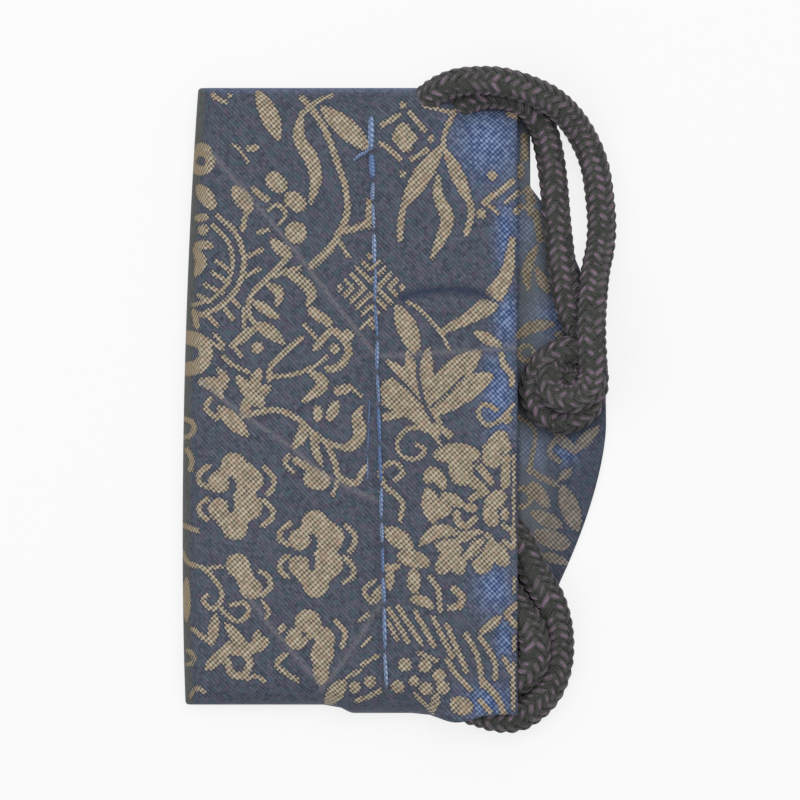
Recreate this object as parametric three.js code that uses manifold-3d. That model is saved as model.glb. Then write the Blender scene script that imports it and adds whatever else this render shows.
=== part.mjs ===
// A brocade pouch lying on its back. One cloth is folded at the left, sewn along its top and bottom
// edges and open at the right, where its back runs on into a tongue flap. A hand-sewn seam runs down
// the front. A round braided cord loops from the top seam to a knot on the flap, and a slack double
// bight of it hangs out of the mouth at the lower right corner.
// Millimetres. X runs from the fold to the flap, Y along the pouch, Z up from the surface it lies on.
import * as THREE from 'three';
import { mergeVertices } from 'three/addons/utils/BufferGeometryUtils.js';
import Module from 'manifold-3d';

const wasm = await Module();
wasm.setup();

// Driving dimensions: the pouch in plan
const POUCH_WIDTH = 59.9; // fold to mouth edge, where the pouch is widest
const POUCH_LENGTH = 113.4; // top seam to the lowest point of the bottom edge
const STRIP_WIDTH = 2.4; // back panel that shows beyond the mouth edge
const FLAP_REACH = 13.6; // tongue flap beyond that strip
const FLAP_UPPER = 42.7; // tongue flap along the mouth, above its tip
const FLAP_LOWER = 38.4; // and below its tip
const FLAP_DROP = 3.7; // flap's tip below the middle of the pouch
const FLAP_UPPER_POWER = 2.5; // fullness of the flap's curve above its tip
const FLAP_LOWER_POWER = 1.6; // and below its tip
const FLAP_STEPS = 26;
const STRIP_ENDS = 4.5; // strip stops this far from the pouch's ends
const TOP_TUCK = 2.8; // the fold leans in by this at the top
const BOTTOM_TUCK = 0.6; // and by this at the bottom
const WIDEST_DROP = 24; // widest place below the middle of the pouch
const STEP_RISE = 1.5; // the bottom edge is this much higher on the fold's side
const STEP_PLACE = 27.2; // fold to that step
const STEP_RUN = 4;
const BUMP_DROP = 1.4; // the cord inside pushes the bottom edge out by this
const BUMP_INSET = 11.5; // mouth edge to that bump
const BUMP_RUN = 7; // half the bump's length

// Driving dimensions: the pouch in section
const CLOTH_WALL = 1.2;
const FOLD_HEIGHT = 5.6;
const FOLD_RADIUS = 2.8;
const CROWN_HEIGHT = 9.4;
const CROWN_SHARE = 0.6; // place of the crown between fold and mouth
const MOUTH_HEIGHT = 8.6;
const TOP_TAPER = 7; // length over which the front comes down to the top seam
const BOTTOM_TAPER = 8;
const SEAM_ALLOWANCE = 2; // sewn edge at the top and bottom
const CORNER_OPEN = 16.5; // mouth edge to where the bottom seam ends
const CORNER_RUN = 5.5; // length over which the front lifts there

// Driving dimensions: the hand-sewn seam
const SEAM_INSET = 24.8; // mouth edge to seam at the middle of the pouch
const SEAM_SHIFT = 3.1; // sideways run of the seam from end to end
const GROOVE_DEPTH = 0.7;
const GROOVE_HALF_WIDTH = 1.6;
const THREAD_DIAMETER = 0.9;
const THREAD_LIFT = 0.5; // thread to the bottom of the groove
const THREAD_ENDS = 5.5; // thread stops this far from the pouch's ends

// Driving dimensions: the cord
const CORD_DIAMETER = 5;
const CLEARANCE = 0.3;
const REST_GAP = 0.1; // cord to the surface that the pouch lies on

// Fineness of the meshes
const FOLD_ANGLES = [20, 45, 70, 90];
const FLANK_COLUMNS = 5;
const FACE_COLUMNS = 6;
const TAPER_SHARES = [0, 0.08, 0.25, 0.5, 0.75, 1.05, 1.5];
const MIDDLE_ROWS = 13;
const CORD_SIDES = 10;
const THREAD_SIDES = 8;
const TURN_STEPS = 22;
const MERGE_DISTANCE = 1e-4;

// Places worked out from the driving dimensions
const LEFT_X = -(POUCH_WIDTH + STRIP_WIDTH + FLAP_REACH) / 2;
const MOUTH_X = LEFT_X + POUCH_WIDTH;
const STRIP_X = MOUTH_X + STRIP_WIDTH;
const TOP_Y = POUCH_LENGTH / 2;
const BOTTOM_Y = -TOP_Y;
const SEAM_HEIGHT = 2 * CLOTH_WALL;
const CORD_RADIUS = CORD_DIAMETER / 2;
const ON_TABLE = CORD_RADIUS + REST_GAP;
const ON_CLOTH = CLOTH_WALL + CLEARANCE + CORD_RADIUS;

const brocadeMaterial = new THREE.MeshStandardMaterial({ color: 0x42485e, roughness: 0.75, metalness: 0 });
const threadMaterial = new THREE.MeshStandardMaterial({ color: 0x6482c3, roughness: 0.6, metalness: 0 });
const cordMaterial = new THREE.MeshStandardMaterial({ color: 0x34302e, roughness: 0.7, metalness: 0 });

// Small curve helpers
const { clamp, lerp, smoothstep } = THREE.MathUtils;

function quarterRound(share) {
  return Math.sqrt(1 - (1 - clamp(share, 0, 1)) ** 2);
}

function spread(from, to, count) {
  return Array.from({ length: count }, (_, k) => lerp(from, to, (k + 1) / count));
}

// Plan of the pouch
function leftX(y) {
  const widest = -WIDEST_DROP;
  const tuck = y > widest ? TOP_TUCK : BOTTOM_TUCK;
  const end = y > widest ? TOP_Y : BOTTOM_Y;
  return LEFT_X + tuck * ((y - widest) / (end - widest)) ** 2;
}

function seamX(y) {
  return MOUTH_X - SEAM_INSET - (SEAM_SHIFT * y) / POUCH_LENGTH;
}

function bottomY(x) {
  const fromBump = clamp((x - (MOUTH_X - BUMP_INSET)) / BUMP_RUN, -1, 1);
  const bump = Math.cos((fromBump * Math.PI) / 2) ** 2;
  const stepX = LEFT_X + STEP_PLACE;
  const step = 1 - smoothstep(x, stepX - STEP_RUN / 2, stepX + STEP_RUN / 2);
  return BOTTOM_Y + BUMP_DROP * (1 - bump) + STEP_RISE * step;
}

// Height of the front above the surface: crowned between fold and mouth, coming down to the sewn
// edges, lifted at the open corner and drawn in along the hand-sewn seam
function frontHeight(x, y) {
  const share = (x - leftX(y)) / (MOUTH_X - leftX(y));
  const rise = Math.sin((clamp(share / CROWN_SHARE, 0, 1) * Math.PI) / 2);
  const fall = smoothstep(share, CROWN_SHARE, 1);
  const crown = lerp(FOLD_HEIGHT, CROWN_HEIGHT, rise) - (CROWN_HEIGHT - MOUTH_HEIGHT) * fall;
  const open = smoothstep(x, MOUTH_X - CORNER_OPEN, MOUTH_X - CORNER_OPEN + CORNER_RUN);
  const atTop = quarterRound((TOP_Y - y) / TOP_TAPER);
  const atBottom = lerp(quarterRound((y - bottomY(x)) / BOTTOM_TAPER), 1, open);
  const full = Math.min(atTop, atBottom);
  const groove = GROOVE_DEPTH * clamp(1 - Math.abs(x - seamX(y)) / GROOVE_HALF_WIDTH, 0, 1);
  return SEAM_HEIGHT + (crown - SEAM_HEIGHT - groove) * full;
}

// Columns of the cloth's mesh at one height: round the fold, over the flank, along the seam and
// over the face to the mouth
function columnXs(y, inset, mouth) {
  const angles = FOLD_ANGLES.map(THREE.MathUtils.degToRad);
  const radius = FOLD_RADIUS - inset;
  const fold = angles.map((a) => leftX(y) + inset + radius * (Math.cos(angles[0]) - Math.cos(a)));
  const seam = seamX(y);
  const flank = spread(fold.at(-1), seam - GROOVE_HALF_WIDTH, FLANK_COLUMNS);
  const face = spread(seam + GROOVE_HALF_WIDTH, mouth, FACE_COLUMNS);
  return [...fold, ...flank, seam, seam + GROOVE_HALF_WIDTH, ...face];
}

function foldShare(column) {
  const angle = FOLD_ANGLES[column] ?? FOLD_ANGLES.at(-1);
  return Math.sin(THREE.MathUtils.degToRad(angle));
}

// Rows of the mesh, as shares of the way from the bottom edge to the top edge
function rowShares() {
  const low = TAPER_SHARES.map((share) => (share * BOTTOM_TAPER) / POUCH_LENGTH);
  const high = TAPER_SHARES.map((share) => 1 - (share * TOP_TAPER) / POUCH_LENGTH).reverse();
  const middle = spread(low.at(-1), high[0], MIDDLE_ROWS).slice(0, -1);
  return [...low, ...middle, ...high];
}

// Closed solid between a low and a high surface over a grid of columns and rows
function gridSolid(columns, rows, place) {
  const positions = [];
  for (const side of [0, 1]) {
    for (let r = 0; r < rows; r += 1) {
      for (let c = 0; c < columns; c += 1) {
        const { x, y, low, high } = place(c, r);
        positions.push(x, y, side === 0 ? low : high);
      }
    }
  }
  const at = (side, c, r) => side * columns * rows + r * columns + c;
  const index = [];
  const quad = (a, b, c, d) => index.push(a, b, c, a, c, d);
  for (let r = 0; r + 1 < rows; r += 1) {
    for (let c = 0; c + 1 < columns; c += 1) {
      quad(at(0, c, r), at(0, c, r + 1), at(0, c + 1, r + 1), at(0, c + 1, r));
      quad(at(1, c, r), at(1, c + 1, r), at(1, c + 1, r + 1), at(1, c, r + 1));
    }
  }
  const last = { c: columns - 1, r: rows - 1 };
  for (let r = 0; r < last.r; r += 1) {
    quad(at(0, 0, r), at(1, 0, r), at(1, 0, r + 1), at(0, 0, r + 1));
    quad(at(0, last.c, r), at(0, last.c, r + 1), at(1, last.c, r + 1), at(1, last.c, r));
  }
  for (let c = 0; c < last.c; c += 1) {
    quad(at(0, c, 0), at(0, c + 1, 0), at(1, c + 1, 0), at(1, c, 0));
    quad(at(0, c, last.r), at(1, c, last.r), at(1, c + 1, last.r), at(0, c + 1, last.r));
  }
  const geometry = new THREE.BufferGeometry();
  geometry.setAttribute('position', new THREE.Float32BufferAttribute(positions, 3));
  geometry.setIndex(index);
  return geometry;
}

// The filled outside of the folded cloth
function outsideGeometry() {
  const shares = rowShares();
  const middleXs = columnXs(0, 0, MOUTH_X);
  return gridSolid(middleXs.length, shares.length, (c, r) => {
    const y = lerp(bottomY(middleXs[c]), TOP_Y, shares[r]);
    const x = columnXs(y, 0, MOUTH_X)[c];
    const height = frontHeight(x, y);
    const half = (height / 2) * foldShare(c);
    return { x, y, low: height / 2 - half, high: height / 2 + half };
  });
}

// The pocket inside it, which runs out through the mouth and through the open corner
function pocketGeometry() {
  const shares = rowShares();
  const overcut = 2 * CLOTH_WALL;
  const mouth = MOUTH_X + overcut;
  const middleXs = columnXs(0, CLOTH_WALL, mouth);
  return gridSolid(middleXs.length, shares.length, (c, r) => {
    const edge = bottomY(middleXs[c]);
    const isOpen = middleXs[c] > MOUTH_X - CORNER_OPEN + CORNER_RUN / 2;
    const bottom = isOpen ? edge - overcut : edge + SEAM_ALLOWANCE;
    const y = lerp(bottom, TOP_Y - SEAM_ALLOWANCE, shares[r]);
    const x = columnXs(y, CLOTH_WALL, mouth)[c];
    const roof = frontHeight(x, y) - CLOTH_WALL;
    const middle = (CLOTH_WALL + roof) / 2;
    const half = ((roof - CLOTH_WALL) / 2) * foldShare(c);
    return { x, y, low: middle - half, high: middle + half };
  });
}

// The back panel beyond the mouth, with the tongue flap
function flapGeometry() {
  const lap = CORNER_OPEN / 2;
  const top = TOP_Y - STRIP_ENDS;
  const bottom = BOTTOM_Y + STRIP_ENDS;
  const outline = new THREE.Shape();
  outline.moveTo(MOUTH_X - lap, bottom);
  outline.lineTo(MOUTH_X, bottom);
  outline.absarc(MOUTH_X, bottom + STRIP_WIDTH, STRIP_WIDTH, -Math.PI / 2, 0, false);
  for (const share of [-1, ...spread(-1, 1, FLAP_STEPS)]) {
    const [half, power] = share > 0 ? [FLAP_UPPER, FLAP_UPPER_POWER] : [FLAP_LOWER, FLAP_LOWER_POWER];
    const reach = FLAP_REACH * (1 - Math.abs(share) ** power);
    outline.lineTo(STRIP_X + reach, share * half - FLAP_DROP);
  }
  outline.absarc(MOUTH_X, top - STRIP_WIDTH, STRIP_WIDTH, 0, Math.PI / 2, false);
  outline.lineTo(MOUTH_X - lap, top);
  return new THREE.ExtrudeGeometry(outline, { depth: CLOTH_WALL, bevelEnabled: false, curveSegments: 4 });
}

// A round cord or thread along a list of points
function tubeGeometry(points, diameter, sides, steps) {
  const path = new THREE.CatmullRomCurve3(points.map((p) => new THREE.Vector3(...p)), false, 'centripetal');
  const section = new THREE.Shape();
  for (let k = 0; k < sides; k += 1) {
    const angle = (2 * Math.PI * k) / sides;
    const [x, y] = [(diameter / 2) * Math.cos(angle), (diameter / 2) * Math.sin(angle)];
    if (k === 0) section.moveTo(x, y);
    else section.lineTo(x, y);
  }
  return new THREE.ExtrudeGeometry(section, { steps, extrudePath: path, bevelEnabled: false });
}

// Joining and cutting of closed meshes
function toSolid(geometry) {
  const bare = geometry.clone();
  bare.deleteAttribute('normal');
  bare.deleteAttribute('uv');
  const merged = mergeVertices(bare, MERGE_DISTANCE);
  const vertProperties = new Float32Array(merged.attributes.position.array);
  const triVerts = new Uint32Array(merged.index.array);
  return new wasm.Manifold(new wasm.Mesh({ numProp: 3, vertProperties, triVerts }));
}

function toGeometry(solid) {
  const mesh = solid.getMesh();
  const geometry = new THREE.BufferGeometry();
  geometry.setAttribute('position', new THREE.BufferAttribute(new Float32Array(mesh.vertProperties), 3));
  geometry.setIndex(new THREE.BufferAttribute(new Uint32Array(mesh.triVerts), 1));
  geometry.computeVertexNormals();
  return geometry;
}

// Routes of the cord, point by point. Both upper strands leave through the top seam, the outer one lying
// on the inner one. The lower bight comes out of the mouth over the flap and goes back in at the open
// corner, its inner strand leaning on its outer one.
const OUTER_STRAND = [
  [1.5, 50.8, 4.4], [3.4, 52.4, 5], [5.3, 54.1, 6.6], [8.1, 56.1, 8.9], [11.3, 57.3, 10.4],
  [14.8, 57.6, 10.9], [19, 57.4, 11], [24.2, 55.9, 10.3], [28.2, 54, 8.2], [31.7, 50.8, 5], [34.2, 46.9, 3.2],
  [35.8, 42.8, ON_TABLE], [36.7, 37.4, ON_TABLE], [37.1, 32, ON_TABLE], [36.8, 28, 3.1],
  [36.1, 24.9, 4.4], [35.6, 21.6, 6], [35.3, 18.2, 7.6], [35.1, 15, 8.7], [35.1, 12.5, 9.1],
];
const INNER_STRAND = [
  [8, 49.3, 4.2], [10, 51.5, 4.6], [12.2, 53.5, 5.2], [14.7, 54.8, 5.8], [17.5, 55.2, 6], [20.6, 54.9, 5.8],
  [23.4, 53.6, 5.1], [25.5, 51.3, 4.1], [26.8, 48.6, 3.2], [27.6, 45.6, 2.8], [28.2, 42, ON_TABLE],
  [28.6, 38.5, 3.1], [28.9, 34.5, 3.9], [29.2, 31, ON_CLOTH], [29.6, 27.6, ON_CLOTH], [30, 24.2, ON_CLOTH],
  [30.6, 20.2, ON_CLOTH], [31.6, 16.6, ON_CLOTH], [32.9, 13.4, ON_CLOTH],
];
const LOWER_OUTER = [
  [14.5, -21.3, 4.1], [18, -21.5, 4.1], [20.8, -22.9, 4.1], [22.6, -25.4, ON_CLOTH], [23.9, -28.4, ON_CLOTH],
  [25.5, -31.3, ON_CLOTH], [27.1, -33.8, ON_CLOTH], [28.4, -37, 3.7], [29.2, -41, 2.9], [29.3, -44.4, ON_TABLE],
  [28.9, -47.4, ON_TABLE], [27.5, -50.9, 2.9], [25.1, -53.7, 3.6], [21.9, -55.6, 4.1], [18.5, -55.7, 4.1],
  [15.6, -54.9, 4.1], [12.4, -53.9, 4.1],
];
const LOWER_INNER = [
  [13, -27.8, 4.1], [15.8, -29.2, 4.1], [18.4, -31.5, 4.1], [20.5, -34.2, 4.5], [22.1, -36.7, 5.2],
  [23.8, -39.2, 5.8], [24.9, -42.4, 6.1], [24.8, -45.6, 5.9], [23.5, -48, 5.5], [21.3, -49.4, 4.8],
  [18.4, -50, 4.3], [15.6, -49.1, 4.1], [12.9, -47.9, 4.1],
];
// The inner strand winds on into the knot's first turn, which lies on the flap. The outer strand winds on
// into the second turn, which lies on the first and tucks its end down through the middle.
const FIRST_TURN = [
  [33.1, 13.05, ON_CLOTH], [34.5, 9.8, ON_CLOTH], [35.5, 6.4, ON_CLOTH], [35.6, 2.8, ON_CLOTH],
  [34.1, -0.8, ON_CLOTH], [30.2, -2.8, ON_CLOTH], [26.4, -1.2, ON_CLOTH], [24.7, 2.2, 4.2], [26, 6.1, 4.8],
  [28.7, 8.8, 5.8], [31, 9.6, 6.1], [33.2, 9.4, 5.8],
];
const SECOND_TURN = [
  [35.1, 11.7, 9.2], [35.3, 8.4, 9.2], [35.3, 4.8, 9], [33.8, 1.9, 8.8], [30.9, 0.9, 8.6], [28.4, 1.9, 8.2],
  [27.6, 4.3, 7.4], [28.6, 6.4, 5.9], [30.4, 6.5, 4.7], [32.2, 5.4, 4.3], [33.3, 4.1, 4.2],
];
const cordRoutes = {
  cord_outer_strand: { points: OUTER_STRAND, steps: 30 },
  cord_inner_strand: { points: INNER_STRAND, steps: 22 },
  cord_lower_outer: { points: LOWER_OUTER, steps: 26 },
  cord_lower_inner: { points: LOWER_INNER, steps: 22 },
};

function clothGeometry() {
  let cloth = toSolid(outsideGeometry()).subtract(toSolid(pocketGeometry())).add(toSolid(flapGeometry()));
  const slit = CORD_DIAMETER + 2 * CLEARANCE;
  for (const { points, steps } of Object.values(cordRoutes)) {
    cloth = cloth.subtract(toSolid(tubeGeometry(points, slit, CORD_SIDES, steps)));
  }
  return toGeometry(cloth);
}

// The sewing thread lies in the groove of the seam
function threadGeometry() {
  const ends = [BOTTOM_Y + THREAD_ENDS, TOP_Y - THREAD_ENDS];
  const steps = 2 * MIDDLE_ROWS;
  const points = [ends[0], ...spread(ends[0], ends[1], steps)].map((y) => {
    const x = seamX(y);
    return [x, y, frontHeight(x, y) + THREAD_LIFT + THREAD_DIAMETER / 2];
  });
  return tubeGeometry(points, THREAD_DIAMETER, THREAD_SIDES, steps);
}

// The knot: its two turns joined into one solid
function knotGeometry() {
  const solids = [FIRST_TURN, SECOND_TURN].map((points) =>
    toSolid(tubeGeometry(points, CORD_DIAMETER, CORD_SIDES, TURN_STEPS)));
  return toGeometry(wasm.Manifold.union(solids));
}

// The pouch
const pouch = new THREE.Group();

function addPiece(name, geometry, material) {
  const piece = new THREE.Mesh(geometry, material);
  piece.name = name;
  pouch.add(piece);
}

addPiece('pouch_cloth', clothGeometry(), brocadeMaterial);
addPiece('seam_thread', threadGeometry(), threadMaterial);
for (const [name, { points, steps }] of Object.entries(cordRoutes)) {
  addPiece(name, tubeGeometry(points, CORD_DIAMETER, CORD_SIDES, steps), cordMaterial);
}
addPiece('cord_knot', knotGeometry(), cordMaterial);

export default pouch;
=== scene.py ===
"""A brocade pouch with a braided cord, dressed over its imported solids.

One folded sheet of brocade replaces the plain cloth, sixteen-yarn braids replace the plain cord tubes and
single stitches replace the plain thread. Lengths are millimetres until a mesh is made."""
import math
from functools import partial

import bmesh
import bpy
import numpy as np
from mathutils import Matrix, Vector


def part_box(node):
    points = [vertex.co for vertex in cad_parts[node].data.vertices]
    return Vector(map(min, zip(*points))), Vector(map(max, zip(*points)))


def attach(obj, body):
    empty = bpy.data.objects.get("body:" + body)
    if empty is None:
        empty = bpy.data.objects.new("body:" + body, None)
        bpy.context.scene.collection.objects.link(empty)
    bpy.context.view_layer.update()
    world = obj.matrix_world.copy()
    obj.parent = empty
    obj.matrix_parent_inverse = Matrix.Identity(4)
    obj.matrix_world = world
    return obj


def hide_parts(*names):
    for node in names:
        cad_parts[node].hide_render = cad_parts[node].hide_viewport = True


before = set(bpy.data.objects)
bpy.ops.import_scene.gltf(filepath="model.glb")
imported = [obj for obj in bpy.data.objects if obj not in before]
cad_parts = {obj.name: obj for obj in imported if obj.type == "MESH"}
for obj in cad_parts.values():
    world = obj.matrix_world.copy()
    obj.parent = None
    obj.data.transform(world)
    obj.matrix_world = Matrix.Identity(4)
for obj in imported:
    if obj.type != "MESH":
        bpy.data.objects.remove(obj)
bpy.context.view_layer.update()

MM = 0.001
RANDOM = np.random.default_rng(7)

# Sizes of the pouch, as its solids have them
CLOTH_LOW, CLOTH_HIGH = (np.array(corner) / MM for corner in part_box("pouch_cloth"))
LEFT_X, BOTTOM_Y = CLOTH_LOW[:2]
TIP_X, TOP_Y = CLOTH_HIGH[:2]
STRIP_WIDTH = 2.4
FLAP_REACH = 13.6
FLAP_UPPER = 42.7
FLAP_LOWER = 38.4
FLAP_DROP = 3.7
FLAP_UPPER_POWER = 2.5
FLAP_LOWER_POWER = 1.6
STRIP_ENDS = 4.5
STRIP_LOWER_END = 2.6
STRIP_SPREAD = 1
SPREAD_STARTS, SPREAD_ENDS = 31, 40
STRIP_X = TIP_X - FLAP_REACH
MOUTH_X = STRIP_X - STRIP_WIDTH
TOP_TUCK = 2.8
BOTTOM_TUCK = 0.6
WIDEST_Y = -24
STEP_RISE = 1.5
STEP_X = LEFT_X + 27.2
STEP_RUN = 4
BUMP_DROP = 1.4
BUMP_X = MOUTH_X - 11.5
BUMP_RUN = 7
CLOTH_WALL = 1.2
SEAM_HEIGHT = 2 * CLOTH_WALL
FOLD_HEIGHT = 5.6
FOLD_RADIUS = 2.8
CROWN_HEIGHT = 9.4
CROWN_SHARE = 0.6
MOUTH_HEIGHT = 8.6
TOP_TAPER = 7
BOTTOM_TAPER = 8
CORNER_X = MOUTH_X - 16.5
CORNER_RUN = 5.5
OPENING_X = 8.4
OPENING_RUN = 5
OPENING_DEPTH = 3.2
GATHER_X = 4.4
GATHER_RUN = 5
GATHER = 4.6
SEAM_INSET = 24.8
SEAM_SHIFT = 3.1
GROOVE_DEPTH = 0.7
GROOVE_HALF_WIDTH = 1.6

# The weaver's draft: the pattern and the marks of use are placed in squares of point paper, counted from
# its upper left corner
SQUARES_PER_MM = 5.6
DRAFT_ORIGIN = np.array([394.5, 404.4])


def from_draft(points):
    """Draft squares to millimetres on the cloth."""
    squares = (np.asarray(points, float) - DRAFT_ORIGIN) / SQUARES_PER_MM
    return squares * [1, -1]


def srgb(red, green, blue):
    """A colour as it looks, 0 to 255, as the linear colour that a shader takes."""
    parts = np.array([red, green, blue]) / 255
    linear = np.where(parts <= 0.04045, parts / 12.92, ((parts + 0.055) / 1.055) ** 2.4)
    return (*linear, 1)


# Shader building. The colours of a Mix node come after its plain numbers and vectors
MIX_FIRST, MIX_SECOND, MIX_RESULT = 6, 7, 2


def feed(node, inputs):
    """Sets inputs of a shader node, or links them where a Field is given."""
    for key, value in inputs.items():
        if isinstance(value, Field):
            node.id_data.links.new(value.socket, node.inputs[key])
        else:
            node.inputs[key].default_value = value


def node_field(tree, kind, inputs, output=0, **settings):
    """What a new shader node makes of its inputs."""
    node = tree.nodes.new("ShaderNode" + kind)
    for name, value in settings.items():
        setattr(node, name, value)
    feed(node, inputs)
    return Field(tree, node.outputs[output])


class Field:
    """A number, vector or colour that varies over a surface, worked out by shader nodes."""

    def __init__(self, tree, socket):
        self.tree = tree
        self.socket = socket

    def combine(self, operation, *others):
        return node_field(self.tree, "Math", dict(enumerate((self, *others))), operation=operation)

    def __add__(self, other):
        return self.combine("ADD", other)

    def __sub__(self, other):
        return self.combine("SUBTRACT", other)

    def __mul__(self, other):
        return self.combine("MULTIPLY", other)

    def wave(self):
        return (self * (2 * math.pi)).combine("COSINE")

    def whole(self):
        return self.combine("FLOOR")

    def step(self, low, high):
        """0 up to low, 1 from high on and smooth between them, either way round."""
        inputs = {"Value": self, "From Min": low, "From Max": high}
        return node_field(self.tree, "MapRange", inputs, "Result", interpolation_type="SMOOTHSTEP")


class Finish:
    """A procedural fabric material under construction."""

    def __init__(self, name):
        self.material = bpy.data.materials.new(name)
        self.material.use_nodes = True
        self.tree = self.material.node_tree
        self.shader = self.tree.nodes["Principled BSDF"]

    def attribute(self, name, output="Fac"):
        return node_field(self.tree, "Attribute", {}, output, attribute_name=name)

    def parts(self, vector):
        first = node_field(self.tree, "SeparateXYZ", {0: vector})
        return [Field(self.tree, output) for output in first.socket.node.outputs]

    def vector(self, *parts):
        return node_field(self.tree, "CombineXYZ", dict(enumerate(parts)))

    def noise(self, vector, scale, detail=2):
        inputs = {"Vector": vector, "Scale": scale, "Detail": detail}
        return node_field(self.tree, "TexNoise", inputs, "Fac")

    def chances(self, vector):
        """Three numbers from 0 to 1, drawn anew for each whole step of the vector."""
        return self.parts(node_field(self.tree, "TexWhiteNoise", {"Vector": vector}, "Color"))

    def blend(self, factor, first, second):
        """A colour between two others. Each is a colour or a Field of colour."""
        inputs = {"Factor": factor, MIX_FIRST: first, MIX_SECOND: second}
        return node_field(self.tree, "Mix", inputs, MIX_RESULT, data_type="RGBA")

    def layers(self, colour, *layers):
        """A colour with others laid over it in turn, each given as how much of it shows and its look."""
        for factor, look in layers:
            colour = self.blend(factor, colour, srgb(*look))
        return colour

    def paint(self, colour, roughness, height, depth):
        """Colour, roughness and a bump of that depth in millimetres."""
        normal = node_field(self.tree, "Bump", {"Distance": depth * MM, "Height": height})
        feed(self.shader, {"Base Color": colour, "Roughness": roughness, "Normal": normal})

    def fibres(self, specular, sheen, sheen_roughness, tint):
        feed(self.shader, {"Specular IOR Level": specular, "Sheen Weight": sheen})
        feed(self.shader, {"Sheen Roughness": sheen_roughness, "Sheen Tint": tint})


# Camera in millimetres, then its range of sight, the floor and the lamps in metres
FRAME_SQUARES = 800
FRAME_WIDTH = FRAME_SQUARES / SQUARES_PER_MM
CAMERA_DISTANCE = 1200
FOCUS_HEIGHT = 6
SENSOR_WIDTH = 36
NEAREST_SEEN, FARTHEST_SEEN = 0.01, 10
FLOOR_HALF = 3
FLOOR_DROP = 0.0001
FLOOR_GREY = 0.88
FLOOR_ROUGHNESS = 0.8
FLOOR_SPECULAR = 0.1
FLOOR_WHITENESS = 0.8
SKY_COLOUR = (0.95, 0.97, 1, 1)
SKY_STRENGTH = 0.38
LAMP_SIZE = 0.5
LAMPS = (
    ("key", (0.16, 0.28, 0.68), 2.4, (1, 0.98, 0.95)),
    ("fill", (-0.36, -0.02, 0.56), 1.5, (0.94, 0.97, 1)),
)


def add_camera():
    data = bpy.data.cameras.new("camera")
    data.sensor_width = SENSOR_WIDTH
    data.lens = SENSOR_WIDTH * CAMERA_DISTANCE / FRAME_WIDTH
    data.clip_start = NEAREST_SEEN
    data.clip_end = FARTHEST_SEEN
    camera = bpy.data.objects.new("camera", data)
    middle = from_draft([FRAME_SQUARES / 2, FRAME_SQUARES / 2])
    camera.location = (*(middle * MM), (CAMERA_DISTANCE + FOCUS_HEIGHT) * MM)
    bpy.context.scene.collection.objects.link(camera)
    bpy.context.scene.camera = camera


def add_lamp(name, place, energy, colour):
    data = bpy.data.lights.new(name, "AREA")
    data.size = LAMP_SIZE
    data.energy = energy
    data.color = colour
    lamp = bpy.data.objects.new(name, data)
    lamp.location = place
    lamp.rotation_euler = (-lamp.location).to_track_quat("-Z", "Y").to_euler()
    bpy.context.scene.collection.objects.link(lamp)


def show_white_to_camera(shader, output, share):
    """Lets the camera see a surface or the world as nearly white, whatever falls on it."""
    tree = shader.id_data
    rays = tree.nodes.new("ShaderNodeLightPath").outputs
    seen = Field(tree, rays["Is Camera Ray"]).combine("MAXIMUM", Field(tree, rays["Is Glossy Ray"])) * share
    inputs = {0: seen, 1: Field(tree, shader.outputs[0]), 2: node_field(tree, "Emission", {})}
    feed(output, {"Surface": node_field(tree, "MixShader", inputs)})


def add_stage():
    material = bpy.data.materials.new("floor")
    material.use_nodes = True
    nodes = material.node_tree.nodes
    feed(nodes["Principled BSDF"], {
        "Base Color": (FLOOR_GREY, FLOOR_GREY, FLOOR_GREY, 1), "Roughness": FLOOR_ROUGHNESS,
        "Specular IOR Level": FLOOR_SPECULAR,
    })
    show_white_to_camera(nodes["Principled BSDF"], nodes["Material Output"], FLOOR_WHITENESS)
    floor_mesh = bpy.data.meshes.new("floor")
    corners = [(x * FLOOR_HALF, y * FLOOR_HALF, 0) for x, y in ((-1, -1), (1, -1), (1, 1), (-1, 1))]
    floor_mesh.from_pydata(corners, [], [(0, 1, 2, 3)])
    floor_mesh.materials.append(material)
    floor = bpy.data.objects.new("floor", floor_mesh)
    floor.location.z = -FLOOR_DROP
    bpy.context.scene.collection.objects.link(floor)

    world = bpy.data.worlds.new("studio")
    world.use_nodes = True
    bpy.context.scene.world = world
    nodes = world.node_tree.nodes
    feed(nodes["Background"], {"Color": SKY_COLOUR, "Strength": SKY_STRENGTH})
    show_white_to_camera(nodes["Background"], nodes["World Output"], 1)
    for lamp in LAMPS:
        add_lamp(*lamp)


# Mesh building
CURVE_STEPS = 24


def add_piece(name, points, faces, material, node, attributes):
    """A mesh from points in millimetres, riding on the pouch in place of one of its solids."""
    mesh = bpy.data.meshes.new(name)
    mesh.from_pydata((np.asarray(points) * MM).tolist(), [], faces)
    for label, values in attributes.items():
        values = np.asarray(values, np.float32)
        if values.ndim == 1:
            mesh.attributes.new(label, "FLOAT", "POINT").data.foreach_set("value", values)
        else:
            made = mesh.attributes.new(label, "FLOAT_VECTOR", "POINT")
            made.data.foreach_set("vector", values.ravel())
    shape = bmesh.new()
    shape.from_mesh(mesh)
    bmesh.ops.recalc_face_normals(shape, faces=shape.faces)
    shape.to_mesh(mesh)
    shape.free()
    mesh.polygons.foreach_set("use_smooth", [True] * len(mesh.polygons))
    mesh.materials.append(material)
    piece = bpy.data.objects.new(name, mesh)
    bpy.context.scene.collection.objects.link(piece)
    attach(piece, "root")
    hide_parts(node)
    return piece


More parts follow.
